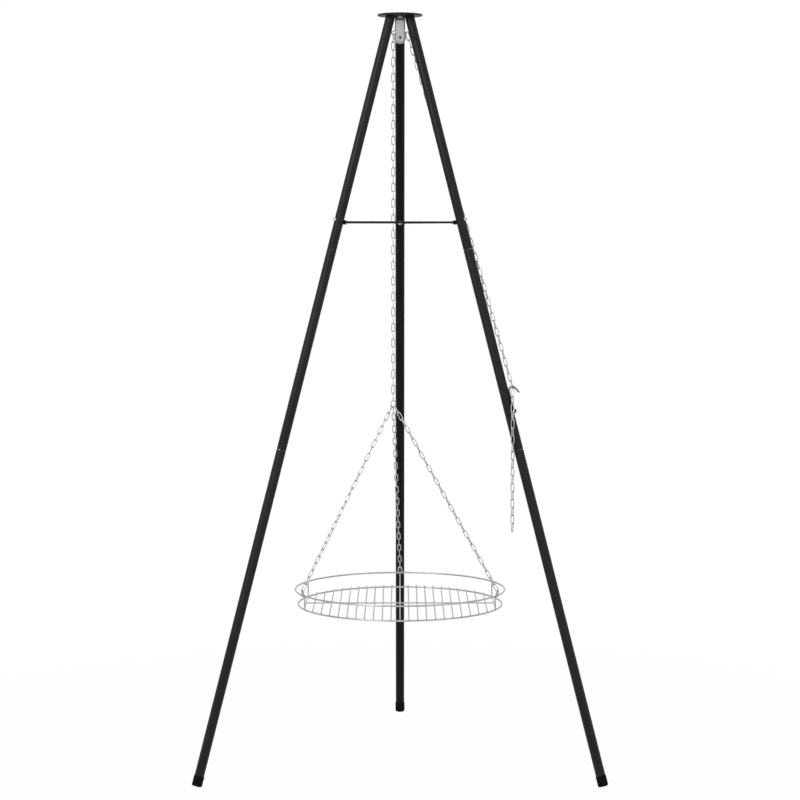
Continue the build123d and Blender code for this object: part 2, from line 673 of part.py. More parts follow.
eye_radius_on_ring = upper_ring_radius + ring_wire / 2 + rod_wire / 2
eye_bend = (eye_inner_width + rod_wire) / 2
for eye_name, eye_azimuth in EYE_ANGLES.items():
    eye_out, eye_side, _, _ = leg_directions(eye_azimuth)
    eye_foot = axis_point + eye_out * eye_radius_on_ring + Vector(0, 0, upper_ring_height)
    eye_plane = Plane(eye_foot, x_dir=eye_side, z_dir=eye_out)
    with BuildPart() as hanger_eye:
        with BuildLine(eye_plane):
            Line((-eye_bend, -eye_foot_drop), (-eye_bend, eye_rise - eye_bend))
            CenterArc((0, eye_rise - eye_bend), eye_bend, 0, 180)
            Line((eye_bend, eye_rise - eye_bend), (eye_bend, -eye_foot_drop))
        with BuildSketch(Plane(eye_foot - eye_side * eye_bend - Vector(0, 0, eye_foot_drop))):
            Circle(rod_wire / 2)
        sweep()
    save(hanger_eye.part, f"hanger_eye_{eye_name}")

    seat_turn = radians(JOINING_SEAT_ANGLES[eye_name])
    bend_middle = joining_middle - Vector(0, 0, joining_straight / 2)
    wire_spot = bend_middle + Vector(cos(seat_turn), 0, sin(seat_turn)) * joining_bend
    seat_tangent = Vector(-sin(seat_turn), 0, cos(seat_turn))
    arch_spot = eye_foot + Vector(0, 0, eye_rise)
    rough_pull = arch_spot - wire_spot
    lift_off = (rough_pull - seat_tangent * rough_pull.dot(seat_tangent)).normalized()
    seat_spot = wire_spot - lift_off * ((joining_wire + link_wire) / 2 + link_gap)
    pull = (arch_spot - seat_spot).normalized()
    foot_spot = arch_spot + pull * ((rod_wire + link_wire) / 2 + link_gap)
    hanger_joints = hung_joints(seat_spot, foot_spot)
    hanger_count = len(hanger_joints) - 1
    first_wide = pull.cross(seat_tangent).normalized()
    last_wide = pull.cross(eye_side).normalized()
    turn_between = -degrees(atan2(pull.dot(first_wide.cross(last_wide)), first_wide.dot(last_wide)))
    hanger_twist = (turn_between - 90 * (hanger_count - 1) + 90) % 180 - 90
    save(chain(link_places(hanger_joints, first_wide, hanger_twist)), f"grate_chain_{eye_name}")

print("links: main", len(drop_joints) - 1, "back", back_count, "spare", spare_links)
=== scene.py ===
"""Campfire tripod with a round grate on a pulley chain: its pieces, finishes and studio.

Sizes are metres in the CAD frame: +Z up, the floor at Z = 0.
"""
import math

import bmesh
import bpy
import numpy
from bpy.props import FloatProperty, FloatVectorProperty, IntProperty, PointerProperty
from bpy.types import Operator, Panel, PropertyGroup
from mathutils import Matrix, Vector


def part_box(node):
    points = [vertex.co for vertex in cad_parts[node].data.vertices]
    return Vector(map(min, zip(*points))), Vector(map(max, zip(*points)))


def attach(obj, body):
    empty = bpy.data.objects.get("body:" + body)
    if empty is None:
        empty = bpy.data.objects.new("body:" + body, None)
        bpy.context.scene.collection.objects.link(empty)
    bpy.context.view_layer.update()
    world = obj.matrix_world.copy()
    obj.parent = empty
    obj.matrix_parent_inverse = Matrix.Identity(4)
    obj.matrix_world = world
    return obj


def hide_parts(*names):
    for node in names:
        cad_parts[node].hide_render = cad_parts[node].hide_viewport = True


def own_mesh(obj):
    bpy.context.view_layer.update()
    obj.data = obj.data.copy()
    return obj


bl_info = {
    "name": "Campfire tripod",
    "version": (1, 0, 0),
    "blender": (4, 5, 0),
    "location": "3D View > Sidebar > Tripod",
    "description": "Builds a campfire tripod with a hanging grate, its finishes and its studio",
    "category": "Object",
}

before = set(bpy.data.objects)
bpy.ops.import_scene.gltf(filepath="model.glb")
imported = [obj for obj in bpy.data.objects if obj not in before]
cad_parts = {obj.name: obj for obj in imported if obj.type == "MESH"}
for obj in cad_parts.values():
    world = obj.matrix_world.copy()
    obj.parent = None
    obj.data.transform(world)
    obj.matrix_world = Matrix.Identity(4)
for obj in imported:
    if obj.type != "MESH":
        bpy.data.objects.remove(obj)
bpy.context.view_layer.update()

LEGS = {"rear": 90.0, "left": 210.0, "right": 330.0}
EYES = {"rear": 90.0, "left": 206.0, "right": 334.0}
# How bare the rims of each leg's tubes are: worn edges and a painted highlight where the rims
# catch the light, weakest on the rear leg, which stands in shade
RIM_WEAR_AND_HIGHLIGHT = {"rear": 0.55, "left": 0.9, "right": 1.0}
CHAINS = {
    "pulley_chain": "tripod",
    "back_chain": "tripod",
    "chain_top_link": "top_link",
    "main_chain": "chain_drop",
    "chain_end_link": "hoist_link",
    "grate_chain_rear": "grate",
    "grate_chain_left": "grate",
    "grate_chain_right": "grate",
    "spare_chain": "spare_end",
}
PLATE_LOW, PLATE_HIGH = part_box("head_plate")
AXIS_Y = (PLATE_LOW.y + PLATE_HIGH.y) / 2
AXLE = (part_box("pulley_axle")[0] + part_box("pulley_axle")[1]) / 2
UP, FORWARD = Vector((0, 0, 1)), Vector((0, 1, 0))
EDGE = 0.0006      # broken edge of turned and cut parts


# ---------------------------------------------------------------- settings
def length(default, about):
    """A size in metres, shown in the scene's own length unit."""
    return FloatProperty(description=about, default=default, min=0.0, precision=4, unit="LENGTH",
                         subtype="DISTANCE")


def angle(degrees, about):
    return FloatProperty(description=about, default=math.radians(degrees), unit="ROTATION",
                         subtype="ANGLE")


def number(default, about, **more):
    return FloatProperty(description=about, default=default, **{"min": 0.0, **more})


def count(default, about, least=0):
    return IntProperty(description=about, default=default, min=least)


def colour(default, about):
    return FloatVectorProperty(description=about, default=default, min=0.0, max=1.0, size=3,
                               subtype="COLOR")


class LegSettings(PropertyGroup):
    foot_radius: length(0.533, "Leg axis at the floor, from the tripod's middle")
    apex_height: length(1.842, "Where the three leg axes would meet")
    stub_joint: length(1.697, "Height of the joint under the head plate")
    upper_joint: length(1.2147, "Height of the upper tube joint")
    lower_joint: length(0.7575, "Height of the lower tube joint")
    tube: length(0.022, "Outer diameter of the leg tubes")
    wall: length(0.0012, "Wall of the leg tubes")
    # the rim's bare metal is partly wear and partly a painted highlight
    rim: length(0.0006, "Worn bright edge on top of each tube")
    shoulder: length(0.0016, "Rounding of a tube's lower end")
    spigot: length(0.045, "Reduced end that slides into the tube below")
    taper: length(0.001, "Lead-in at a spigot's tip")
    play: length(0.0001, "Gap between a spigot and the bore it slides into")
    sides: count(48, "Facets round a tube", 12)


class CapSettings(PropertyGroup):
    wall: length(0.0010, "Rubber outside the tube")
    height: length(0.024, "Length of the cap along the leg")
    base: length(0.004, "Rubber under the tube's end")
    edge: length(0.003, "Rounding of the foot's edge")
    groove: length(0.0005, "Depth of the moulded grip grooves")
    grooves: count(3, "Moulded grip grooves")


class HeadSettings(PropertyGroup):
    plate_edge: length(0.0009, "Rounding of the plate's edge")
    bolt: length(0.006, "Diameter of the bolt through the plate")
    bolt_head: length(0.012, "Diameter of the domed head")
    nut: length(0.010, "Hex nut across its flats")
    axle: length(0.005, "Diameter of the pulley axle")
    rivet: length(0.007, "Head of the pulley axle")
    rivet_height: length(0.0012, "Height of that head")
    groove: length(0.0034, "Width of the wheel's chain slot")
    groove_radius: length(0.01156, "Floor of the slot, from the axle")
    recess: length(0.0008, "Depth of the pressed ring in the wheel's sides")


class ChainSettings(PropertyGroup):
    wire: length(0.0023, "Diameter of the chain wire")
    width: length(0.005, "Inside width of a link")
    straight: length(0.0136, "Straight run of a link's side")
    seam: number(0.14, "Swelling of the wire at the weld", max=0.5)
    sway: angle(2.5, "Most that a link turns out of line")
    seed: count(4, "Seed of the links' small turns")
    joining_wire: length(0.0025, "Wire of the link that takes the three chains")
    joining_width: length(0.008, "Inside width of that link")
    joining_straight: length(0.007, "Straight run of that link's side")


class GrateSettings(PropertyGroup):
    ring_wire: length(0.004, "Diameter of both rings' wire")
    rod_wire: length(0.003, "Diameter of the rods")
    pitch: length(0.0202, "Middle to middle of two rods")
    overhang: length(0.003, "Rod ends past the ring's middle")
    rods: count(21, "Straight rods between the two outer ones", 3)
    bend: length(0.0045, "Bend of the rods that turn up to the upper ring")
    post_rise: length(0.002, "Post ends above the upper ring's middle")
    eye_width: length(0.0047, "Inside width of a hanger eye")
    eye_rise: length(0.0135, "Top of a hanger eye above the ring's middle")
    eye_drop: length(0.002, "Feet of a hanger eye below the ring's middle")
    weld: length(0.0017, "Half width of a spot weld's bead")


class SpreaderSettings(PropertyGroup):
    height: length(1.281, "Screws of the spreader, on the leg axis")
    bar: length(0.005, "Diameter of a spreader bar")
    tab_width: length(0.010, "Width of its flattened ends")
    tab: length(0.002, "Thickness of its flattened ends")
    tab_length: length(0.011, "Screw to the bend towards the bar")
    screw: length(0.005, "Diameter of the screws")
    screw_head: length(0.0095, "Diameter of their heads")
    head_height: length(0.0032, "Height of their heads")
    screw_tip: length(0.0015, "Screw end past its nut")
    nut: length(0.008, "Hex nut across its flats")
    nut_height: length(0.004, "Height of the nuts")
    washer: length(0.010, "Diameter of the washers")
    washer_height: length(0.001, "Thickness of the washers")


class LookSettings(PropertyGroup):
    coat: colour((0.0058, 0.0058, 0.0061), "Black coat of the legs and the head")
    zinc: colour((0.40, 0.405, 0.41), "Bright plating of chain, grate and yoke")
    rubber: colour((0.0045, 0.0045, 0.0048), "Foot caps")
    dark_steel: colour((0.045, 0.046, 0.050), "Hook and its screw")


class StageSettings(PropertyGroup):
    distance: length(5.225, "Camera in front of the tripod's middle")
    height: length(1.2599, "Camera above the floor")
    tilt: angle(4.377, "Camera's downward tilt")
    lens: number(100.0, "Focal length in mm", min=10.0)
    floor: length(7.0, "Radius of the pale floor")
    ambient: number(0.40, "Soft light from all round")
    key: number(150.0, "Lamp at the front left", unit="POWER")
    fill: number(30.0, "Lamp at the front right", unit="POWER")


class TripodSettings(PropertyGroup):
    legs: PointerProperty(type=LegSettings)
    caps: PointerProperty(type=CapSettings)
    head: PointerProperty(type=HeadSettings)
    chains: PointerProperty(type=ChainSettings)
    grate: PointerProperty(type=GrateSettings)
    spreader: PointerProperty(type=SpreaderSettings)
    looks: PointerProperty(type=LookSettings)
    stage: PointerProperty(type=StageSettings)


# ---------------------------------------------------------------- node trees
class Tree:
    """A node tree that's written as a chain of calls."""

    def __init__(self, tree):
        self.tree = tree

    def node(self, kind, *values, **named):
        """A new node; values are its sockets in order, names with a capital are sockets too."""
        node = self.tree.nodes.new(kind)
        sockets = {name: named.pop(name) for name in list(named) if name[0].isupper()}
        for name, value in named.items():
            setattr(node, name, value)
        for index, value in enumerate(values):
            if value is not None:
                self.put(node.inputs[index], value)
        for name, value in sockets.items():
            self.put(node.inputs[name.replace("_", " ")], value)
        return node

    def add(self, kind, *values, output=0, **named):
        """One output of a new node."""
        return self.node(kind, *values, **named).outputs[output]

    def put(self, socket, value):
        if isinstance(value, bpy.types.NodeSocket):
            self.tree.links.new(value, socket)
        else:
            socket.default_value = value

    def math(self, operation, *values):
        return self.add("ShaderNodeMath", *values, operation=operation)

    def remap(self, factor, low, high, to_low=0.0, to_high=1.0):
        return self.add("ShaderNodeMapRange", factor, low, high, to_low, to_high)

    def blend(self, share, first, second, output):
        """A share of the second shader over the first, as the tree's surface."""
        mix = self.add("ShaderNodeMixShader", share, first, second)
        self.put(self.tree.nodes[output].inputs["Surface"], mix)

    def white_rays(self):
        """1 for rays that see the white background: from the camera, mirrored or let through."""
        path = self.node("ShaderNodeLightPath").outputs
        seen = path["Is Camera Ray"]
        for other in ("Is Glossy Ray", "Is Transmission Ray"):
            seen = self.math("MAXIMUM", seen, path[other])
        return seen


# ---------------------------------------------------------------- finishes
class Surface(Tree):
    """One material, its patterns on object coordinates."""

    def __init__(self, name):
        self.material = bpy.data.materials.new(name)
        self.material.use_nodes = True
        super().__init__(self.material.node_tree)
        self.shader = self.tree.nodes["Principled BSDF"]
        self.place = self.add("ShaderNodeTexCoord", output="Object")

    def noise(self, scale, detail, stretch=(1.0, 1.0, 1.0)):
        mapping = self.add("ShaderNodeMapping", Vector=self.place, Scale=stretch)
        return self.add("ShaderNodeTexNoise", Vector=mapping, Scale=scale, Detail=detail,
                        output="Fac")

    def tint(self, factor, first, second):
        return self.add("ShaderNodeMix", factor, *[None] * 5, first, second, output=2,
                        data_type="RGBA")

    def bump(self, height, distance, strength):
        """The last layer of a finish, which is then complete."""
        self.set(Normal=self.add("ShaderNodeBump", Height=height, Distance=distance,
                                 Strength=strength))
        return self.material

    def set(self, **values):
        for name, value in values.items():
            self.put(self.shader.inputs[name.replace("_", " ")], value)


def shade(rgb, factor):
    return tuple(channel * factor for channel in rgb) + (1.0,)


def powder_coat(rgb, name="Black powder coat", shine=0.18):
    """Satin black coat with its orange peel, faint dust, and bare metal where "bare" is 1."""
    made = Surface(name)
    cloud = made.remap(made.noise(9.0, 4.0), 0.35, 0.65)
    dust = made.remap(made.noise(160.0, 6.0), 0.60, 0.75)
    coat = made.tint(cloud, shade(rgb, 0.8), shade(rgb, 1.25))
    coat = made.tint(made.math("MULTIPLY", dust, 0.04), coat, (0.20, 0.20, 0.19, 1.0))
    # the bare mask: worn metal, and on the tube rims also a painted highlight
    edge = made.add("ShaderNodeAttribute", output="Fac", attribute_name="bare")
    ragged = made.math("ADD", edge, made.remap(made.noise(150.0, 3.0), 0.3, 0.7, -1.05, 0.15))
    bare = made.remap(ragged, 0.35, 0.60)
    rough = made.math("ADD", made.remap(cloud, 0.0, 1.0, 0.44, 0.52),
                      made.math("MULTIPLY", bare, -0.16))
    made.set(Base_Color=made.tint(bare, coat, (0.34, 0.34, 0.335, 1.0)), Metallic=bare,
             Roughness=rough, Specular_IOR_Level=shine)
    return made.bump(made.noise(1400.0, 2.0), 0.0002, 0.35)


def bright_zinc(rgb, name="Bright zinc wire", drawn=(1.0, 1.0, 1.0)):
    """Bright plating: a patchy blue to straw tint, uneven gloss and fine drawn lines."""
    made = Surface(name)
    patch = made.remap(made.noise(60.0, 5.0), 0.35, 0.65)
    cool = (rgb[0] * 0.93, rgb[1] * 0.97, rgb[2] * 1.02, 1.0)
    warm = (rgb[0] * 1.02, rgb[1] * 0.99, rgb[2] * 0.92, 1.0)
    spots = made.remap(made.noise(520.0, 4.0), 0.62, 0.72)
    plate = made.tint(patch, cool, warm)
    plate = made.tint(made.math("MULTIPLY", spots, 0.30), plate, shade(rgb, 0.45))
    made.set(Base_Color=plate, Metallic=1.0,
             Roughness=made.remap(made.noise(300.0, 4.0), 0.3, 0.7, 0.24, 0.42))
    return made.bump(made.noise(900.0, 3.0, drawn), 0.0001, 0.18)


def black_rubber(rgb):
    """Matt moulded rubber with a fine grain and pale dust in it."""
    made = Surface("Black rubber")
    dust = made.remap(made.noise(240.0, 6.0), 0.55, 0.80, 0.0, 0.03)
    made.set(Base_Color=made.tint(dust, shade(rgb, 1.0), (0.16, 0.155, 0.145, 1.0)),
             Roughness=made.remap(made.noise(90.0, 3.0), 0.3, 0.7, 0.68, 0.86),
             Specular_IOR_Level=0.05)
    return made.bump(made.noise(2600.0, 2.0), 0.0002, 0.5)


def dark_steel(rgb):
    """Blackened steel with rubbed, brighter patches."""
    made = Surface("Dark steel")
    rubbed = made.remap(made.noise(180.0, 5.0), 0.56, 0.70, 0.0, 0.55)
    made.set(Base_Color=made.tint(rubbed, shade(rgb, 1.0), shade(rgb, 5.0)), Metallic=0.8,
             Roughness=made.remap(made.noise(400.0, 3.0), 0.3, 0.7, 0.34, 0.52))
    return made.bump(made.noise(1100.0, 3.0), 0.0001, 0.3)


FINISHES = {
    "black_powder_coat": lambda looks: powder_coat(looks.coat),
    # the rear leg's coat: the same black coat with less shine, painted shade that darkens the leg
    # furthest from the lamps
    "rear_shaded_coat": lambda looks: powder_coat(looks.coat, "Sooted powder coat", 0.08),
    "bright_zinc": lambda looks: bright_zinc(looks.zinc),
    "zinc_sheet": lambda looks: bright_zinc(looks.zinc, "Bright zinc sheet", (0.08, 1.0, 1.0)),
    "black_rubber": lambda looks: black_rubber(looks.rubber),
    "dark_steel": lambda looks: dark_steel(looks.dark_steel),
}
made_finishes = {}


def finish(name):
    """A finish, made once."""
    if name not in made_finishes:
        made_finishes[name] = FINISHES[name](bpy.context.scene.tripod.looks)
    return made_finishes[name]


# ---------------------------------------------------------------- meshes in code
def show(name, data):
    """A new object in the scene."""
    shown = bpy.data.objects.new(name, data)
    bpy.context.scene.collection.objects.link(shown)
    return shown


def keep(mesh, name, node=None, slot="bright_zinc", body="tripod", look=None, sharp=35.0):
    """Makes a bmesh or a mesh a piece that stands for a CAD node and rides on a body."""
    if isinstance(mesh, bmesh.types.BMesh):
        bmesh.ops.recalc_face_normals(mesh, faces=mesh.faces)
        data = bpy.data.meshes.new(name)
        mesh.to_mesh(data)
        mesh.free()
        data.materials.append(finish(look or slot))
    else:
        data = mesh
        data.name = name
    data.shade_smooth()
    data.set_sharp_from_angle(angle=math.radians(sharp))
    piece = show(name, data)
    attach(piece, body)
    if node:
        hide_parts(node)
    return piece


def paint(node, look):
    """Gives a carried-over CAD node its finish."""
    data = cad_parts[node].data
    data.materials.clear()
    data.materials.append(finish(look))


def bare_layer(mesh):
    """How bare of coating each vertex is, from 0 to 1."""
    return mesh.verts.layers.float.get("bare") or mesh.verts.layers.float.new("bare")


def ring_of(mesh, origin, along, across, radius, distance, sides, bare=0.0):
    """One loop of vertices round an axis; radius and distance may change with the angle."""
    layer = bare_layer(mesh)
    beside = along.cross(across)
    sides = 1 if radius == 0 else sides
    loop = []
    for turn in (2 * math.pi * index / sides for index in range(sides)):
        reach = radius(turn) if callable(radius) else radius
        depth = distance(turn) if callable(distance) else distance
        aside = (across * math.cos(turn) + beside * math.sin(turn)) * reach
        vertex = mesh.verts.new(origin + along * depth + aside)
        vertex[layer] = bare
        loop.append(vertex)
    return loop


def bridge(mesh, first, second):
    """Faces between two loops, either of which may be a single point."""
    if len(first) == len(second) == 1:
        return
    for index in range(max(len(first), len(second))):
        corners = [first[index % len(first)], first[(index + 1) % len(first)],
                   second[(index + 1) % len(second)], second[index % len(second)]]
        mesh.faces.new(list(dict.fromkeys(corners)))


def turn_piece(mesh, origin, along, outline, sides, across=None):
    """Turns a closed outline of (radius, distance[, bare]) about an axis."""
    along = along.normalized()
    across = (across or along.orthogonal()).normalized()
    bare_layer(mesh)
    loops = [ring_of(mesh, origin, along, across, *(point[:2]), sides, *(point[2:]))
             for point in outline]
    for first, second in zip(loops, loops[1:] + loops[:1]):
        bridge(mesh, first, second)
    return loops


def turned(name, node, origin, along, outline, sides, **how):
    """One turned piece; how is what keep() takes."""
    mesh = bmesh.new()
    turn_piece(mesh, origin, along, outline, sides)
    return keep(mesh, name, node, **how)


def both_ways(side):
    """A closed outline from its half on the positive side."""
    return [(radius, -distance) for radius, distance in side] + side[::-1]


def arc(radius, distance, wide, high, degrees, steps):
    """Outline points of a quarter ellipse, from its side towards its top."""
    turns = [math.radians(degrees * step) for step in range(steps)]
    return [(radius + wide * math.cos(turn), distance + high * math.sin(turn)) for turn in turns]


def hexagon(width):
    """Radius of a hexagon of that width across flats, at any angle."""
    return lambda turn: width / 2 / math.cos((turn + math.pi / 6) % (math.pi / 3) - math.pi / 6)


def hex_nut(mesh, origin, along, width, height, bore, across):
    """A nut with its bearing faces turned down to a circle, as a pressed nut's are."""
    flat, corner, drop = width / 2 * 0.96, hexagon(width), 0.55
    turn_piece(mesh, origin, along, [
        (bore, height * 0.08), (bore * 1.12, 0.0), (flat, 0.0),
        (corner, lambda turn: (corner(turn) - flat) * drop),
        (corner, lambda turn: height - (corner(turn) - flat) * drop),
        (flat, height), (bore * 1.12, height), (bore, height * 0.92),
    ], sides=48, across=across)


def button_screw(mesh, seat, out, radius, head_radius, head_height, reach):
    """A domed screw with a hexagon socket; out points from the seat to the head."""
    socket = hexagon(head_radius * 0.62)
    dome = arc(0.0, head_height * 0.25, head_radius, head_height * 0.75, 12.0, 6)
    turn_piece(mesh, seat, out, [
        (0.0, head_height * 0.35), (socket, head_height * 0.35), (socket, head_height * 0.97),
        (head_radius * 0.45, head_height), *reversed(dome), (head_radius, 0.0),
        (radius, 0.0), (radius, -reach + EDGE), (radius - EDGE, -reach), (0.0, -reach),
    ], sides=36)


def washer(mesh, origin, along, outer, inner, height):
    edge = height * 0.2
    turn_piece(mesh, origin, along, [
        (inner, edge), (inner + edge, 0.0), (outer - edge, 0.0), (outer, edge),
        (outer, height - edge), (outer - edge, height), (inner + edge, height),
        (inner, height - edge),
    ], sides=40)


# ---------------------------------------------------------------- geometry nodes
class Graph(Tree):
    """A geometry node tree with named inputs."""

    def __init__(self, name, floats="", ints="", vectors=""):
        super().__init__(bpy.data.node_groups.new(name, "GeometryNodeTree"))
        face = self.tree.interface
        face.new_socket("Geometry", in_out="INPUT", socket_type="NodeSocketGeometry")
        face.new_socket("Geometry", in_out="OUTPUT", socket_type="NodeSocketGeometry")
        for kind, labels in (("Float", floats), ("Int", ints), ("Vector", vectors),
                             ("Material", "Material")):
            for label in filter(None, labels.split(", ")):
                face.new_socket(label, in_out="INPUT", socket_type=f"NodeSocket{kind}")
        self.given = self.node("NodeGroupInput").outputs

    def vector(self, x=0.0, y=0.0, z=0.0):
        return self.add("ShaderNodeCombineXYZ", x, y, z)

    def index(self):
        return self.add("GeometryNodeInputIndex")

    def position(self, axis):
        place = self.add("GeometryNodeInputPosition")
        return self.add("ShaderNodeSeparateXYZ", place, output=axis)

    def random(self, low, high, seed):
        return self.add("FunctionNodeRandomValue", None, None, low, high, Seed=seed, output=1,
                        data_type="FLOAT")

    def circle(self, steps, radius):
        return self.add("GeometryNodeCurvePrimitiveCircle", Resolution=steps, Radius=radius)

    def move(self, shape, offset):
        return self.add("GeometryNodeSetPosition", Geometry=shape, Offset=offset)

    def swell(self, curve, factor):
        return self.add("GeometryNodeSetCurveRadius", Curve=curve, Radius=factor)

    def scatter(self, points, shape, **more):
        """Copies of a shape on points; more are the node's other sockets."""
        return self.add("GeometryNodeInstanceOnPoints", Points=points, Instance=shape, **more)

    def attribute(self, name):
        return self.add("GeometryNodeInputNamedAttribute", Name=name, data_type="FLOAT_VECTOR")

    def facing(self):
        """Rotation that puts a shape's Y on "along" and its X on "across"."""
        return self.add("FunctionNodeAxesToRotation", self.attribute("along"),
                        self.attribute("across"), primary_axis="Y", secondary_axis="X")

    def wire(self, path, diameter, sides, capped=False):
        """A round wire along curves."""
        profile = self.circle(sides, self.math("MULTIPLY", diameter, 0.5))
        return self.add("GeometryNodeCurveToMesh", Curve=path, Profile_Curve=profile,
                        Fill_Caps=capped)

    def finish(self, shape):
        """Realize Instances and Set Material end every tree."""
        whole = self.add("GeometryNodeRealizeInstances", shape)
        self.node("NodeGroupOutput", self.add("GeometryNodeSetMaterial", Geometry=whole,
                                              Material=self.given["Material"]))
        return self

    def grow(self, start=None, **values):
        """Runs the tree on a starting mesh; values are its inputs, such as inner_width=0.005."""
        values = {name.replace("_", " ").title(): value for name, value in values.items()}
        values["Material"] = finish("bright_zinc")
        base = show("base", start or bpy.data.meshes.new("base"))
        modifier = base.modifiers.new(self.tree.name, "NODES")
        modifier.node_group = self.tree
        for item in self.tree.interface.items_tree:
            if item.in_out == "INPUT" and item.name in values:
                modifier[item.identifier] = values[item.name]
        graph = bpy.context.evaluated_depsgraph_get()
        result = bpy.data.meshes.new_from_object(base.evaluated_get(graph),
                                                 preserve_all_data_layers=True, depsgraph=graph)
        bpy.data.objects.remove(base)
        return result


def marks(spots):
    """A mesh of loose points from (place, along, across), for a tree to put shapes on."""
    mesh = bpy.data.meshes.new("marks")
    mesh.from_pydata([spot[0] for spot in spots], [], [])
    for index, name in ((1, "along"), (2, "across")):
        values = [part for spot in spots for part in spot[index]]
        mesh.attributes.new(name, "FLOAT_VECTOR", "POINT").data.foreach_set("vector", values)
    return mesh


def route(path):
    """A mesh of one open run, for a tree to draw wire along."""
    mesh = bpy.data.meshes.new("route")
    mesh.from_pydata(path, [(step, step + 1) for step in range(len(path) - 1)], [])
    return mesh


def link_graph():
    """An oval welded link on every mark, each a little out of line."""
    graph = Graph("Chain links", "Wire, Inner Width, Straight, Seam, Sway", "Seed, Steps, Sides")
    given = graph.given
    bend = graph.math("MULTIPLY", graph.math("ADD", given["Wire"], given["Inner Width"]), 0.5)
    away = graph.math("SIGN", graph.math("SNAP", graph.position("Y"), 1e-5))
    half = graph.math("MULTIPLY", given["Straight"], 0.5)
    oval = graph.move(graph.circle(given["Steps"], bend),
                      graph.vector(y=graph.math("MULTIPLY", away, half)))
    welded = graph.math("LESS_THAN", graph.index(), 0.5)
    swell = graph.math("ADD", 1.0, graph.math("MULTIPLY", given["Seam"], welded))
    link = graph.wire(graph.swell(oval, swell), given["Wire"], given["Sides"])
    sway = graph.random(graph.math("MULTIPLY", given["Sway"], -1.0), given["Sway"], given["Seed"])
    aside = graph.add("FunctionNodeRotateRotation", graph.facing(), graph.vector(y=sway),
                      rotation_space="LOCAL")
    return graph.finish(graph.scatter(given["Geometry"], link, Rotation=aside))


def rod_graph():
    """Straight rods side by side, each as long as its chord of the ring."""
    graph = Graph("Grate rods", "Ring Radius, Spacing, Overhang, Wire", "Rods", "Middle")
    given = graph.given
    gaps = graph.math("SUBTRACT", given["Rods"], 1.0)
    start = graph.math("MULTIPLY", graph.math("MULTIPLY", gaps, -0.5), given["Spacing"])
    row = graph.add("GeometryNodeMeshLine", Count=given["Rods"], mode="OFFSET",
                    Start_Location=graph.vector(start), Offset=graph.vector(given["Spacing"]))
    aside = graph.math("ABSOLUTE", graph.position("X"))
    square = graph.math("SUBTRACT", graph.math("POWER", given["Ring Radius"], 2.0),
                        graph.math("POWER", aside, 2.0))
    reach = graph.math("ADD", graph.math("SQRT", square), given["Overhang"])
    off_middle = graph.math("GREATER_THAN", aside, graph.math("MULTIPLY", given["Spacing"], 0.5))
    run = graph.add("GeometryNodeCurvePrimitiveLine", Start=(0.0, -1.0, 0.0), End=(0.0, 1.0, 0.0))
    runs = graph.scatter(row, run, Selection=off_middle, Scale=graph.vector(1.0, reach, 1.0))
    runs = graph.add("GeometryNodeRealizeInstances", runs)
    return graph.finish(graph.wire(graph.move(runs, given["Middle"]), given["Wire"], 12, True))


def bent_wire_graph():
    """Round wire along open runs, its corners bent to a radius."""
    graph = Graph("Bent wire", "Wire, Bend Radius", "Bend Steps, Sides")
    given = graph.given
    path = graph.add("GeometryNodeMeshToCurve", given["Geometry"])
    bent = graph.add("GeometryNodeFilletCurve", Curve=path, Radius=given["Bend Radius"],
                     Count=given["Bend Steps"], Limit_Radius=True, mode="POLY")
    return graph.finish(graph.wire(bent, given["Wire"], given["Sides"], True))


def hoop_graph():
    """A closed ring of wire with the swelling of its butt weld at the back."""
    graph = Graph("Hoop", "Radius, Wire, Seam", "Steps", "Middle")
    given = graph.given
    hoop = graph.move(graph.circle(given["Steps"], given["Radius"]), given["Middle"])
    back = graph.math("COMPARE", graph.index(), graph.math("MULTIPLY", given["Steps"], 0.25), 0.4)
    weld = graph.math("MULTIPLY", given["Seam"], back)
    hoop = graph.swell(hoop, graph.math("ADD", 1.0, weld))
    return graph.finish(graph.wire(hoop, given["Wire"], 12))


def bead_graph():
    """A flattened weld bead on every mark, no two alike."""
    graph = Graph("Weld beads", "Size, Variation", "Seed")
    given = graph.given
    bead = graph.add("GeometryNodeMeshUVSphere", Segments=8, Rings=6, Radius=given["Size"])
    bead = graph.add("GeometryNodeTransform", Geometry=bead, Scale=(1.0, 1.35, 0.62))
    change = graph.random(graph.math("SUBTRACT", 1.0, given["Variation"]),
                          graph.math("ADD", 1.0, given["Variation"]), given["Seed"])
    return graph.finish(graph.scatter(given["Geometry"], bead, Rotation=graph.facing(),
                                      Scale=graph.vector(change, change, change)))


def thread_graph():
    """A screw thread's crest, wound round every mark's own Y."""
    graph = Graph("Screw thread", "Radius, Run, Turns, Crest")
    given = graph.given
    crest = graph.add("GeometryNodeCurveSpiral", Resolution=20, Rotations=given["Turns"],
                      Start_Radius=given["Radius"], End_Radius=given["Radius"],
                      Height=given["Run"])
    crest = graph.add("GeometryNodeTransform", Geometry=crest, Rotation=(-math.pi / 2, 0.0, 0.0))
    coil = graph.wire(crest, given["Crest"], 4, True)
    return graph.finish(graph.scatter(given["Geometry"], coil, Rotation=graph.facing()))


